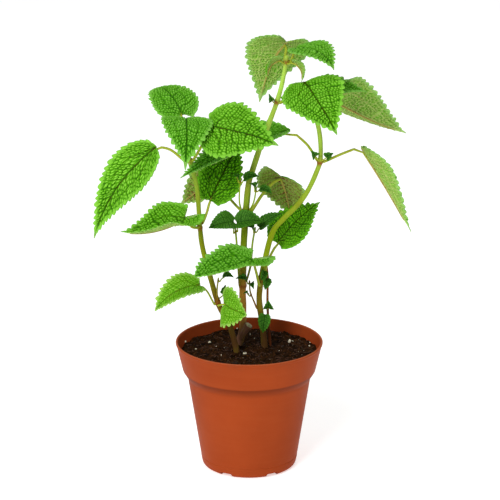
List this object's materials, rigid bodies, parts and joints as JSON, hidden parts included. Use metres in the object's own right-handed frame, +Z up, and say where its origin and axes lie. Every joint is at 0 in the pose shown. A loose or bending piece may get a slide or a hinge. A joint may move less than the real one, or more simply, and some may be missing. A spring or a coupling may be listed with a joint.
{
  "type": "potted pilea plant",
  "caption": "Leafy pilea houseplant with quilted, toothed leaves on bare branching stems, growing in soil in a tapered plastic nursery pot with a wide collar.",
  "frame": {"origin": "on the pot's vertical axis, at the level of the surface that the pot's foot stands on", "axes": "+Z up along the pot's axis; +X to the right and -Y towards the viewer when the plant is seen from its front, with its long drooping leaf on the left"},
  "size_m": [0.2258, 0.107, 0.3156],
  "materials": {
    "terracotta_plastic": "terracotta-coloured polypropylene, satin outside, fine mould texture",
    "potting_soil": "loose moist potting soil with cream perlite grains and reddish bark fibres",
    "olive_stem": "fleshy olive-green stem, finely ribbed and hairy, browner towards the soil",
    "brown_stem": "woody brown shoot",
    "red_stem": "thin red-brown stem",
    "bright_leaf": "quilted bright green leaf, soft and slightly hairy, with sunken brown veins",
    "pale_leaf": "the same leaf seen mostly from below: pale green with raised brownish-purple veins",
    "dark_leaf": "small young leaf, deep green"
  },
  "bodies": {
    "root": {"axil_left_leaf_left": "dark_leaf", "axil_left_leaf_right": "dark_leaf", "axil_right_leaf_left": "dark_leaf", "axil_right_leaf_right": "dark_leaf", "axil_shoot_left": "olive_stem", "axil_shoot_right": "olive_stem", "leaf_centre_hanging": "pale_leaf", "leaf_front_low": "bright_leaf", "leaf_front_small": "bright_leaf", "leaf_left_behind": "pale_leaf", "leaf_left_lower": "bright_leaf", "leaf_left_small": "bright_leaf", "leaf_left_top_back": "bright_leaf", "leaf_left_top_front": "bright_leaf", "leaf_left_upper": "bright_leaf", "leaf_middle_cross": "bright_leaf", "leaf_middle_dark": "bright_leaf", "leaf_middle_front": "bright_leaf", "leaf_right_back": "pale_leaf", "leaf_right_front": "bright_leaf", "leaf_right_hanging": "pale_leaf", "leaf_right_low": "bright_leaf", "leaf_right_middle": "bright_leaf", "leaf_top_left": "pale_leaf", "leaf_top_right": "bright_leaf", "node_centre_leaf_left": "dark_leaf", "node_centre_leaf_right": "dark_leaf", "node_right_leaf_left": "dark_leaf", "node_right_leaf_right": "dark_leaf", "pot": "terracotta_plastic", "shoot_front": "olive_stem", "shoot_front_leaf_left": "dark_leaf", "shoot_front_leaf_right": "dark_leaf", "shoot_left": "olive_stem", "shoot_left_leaf": "dark_leaf", "shoot_left_leaf_low": "dark_leaf", "shoot_low": "brown_stem", "shoot_low_leaf_left": "dark_leaf", "shoot_low_leaf_right": "dark_leaf", "shoot_low_leaf_tiny": "dark_leaf", "shoot_middle": "olive_stem", "shoot_middle_leaf_left": "dark_leaf", "shoot_middle_leaf_right": "dark_leaf", "soil": "potting_soil", "stem_centre": "olive_stem", "stem_left": "olive_stem", "stem_right": "olive_stem", "stem_right_leaf_base": "dark_leaf", "stem_right_leaf_lower": "dark_leaf", "stem_right_leaf_upper": "dark_leaf", "stem_thin": "red_stem", "stem_thin_leaf": "dark_leaf", "young_leaf_left": "dark_leaf", "young_leaf_right": "dark_leaf"}
  },
  "joints": []
}
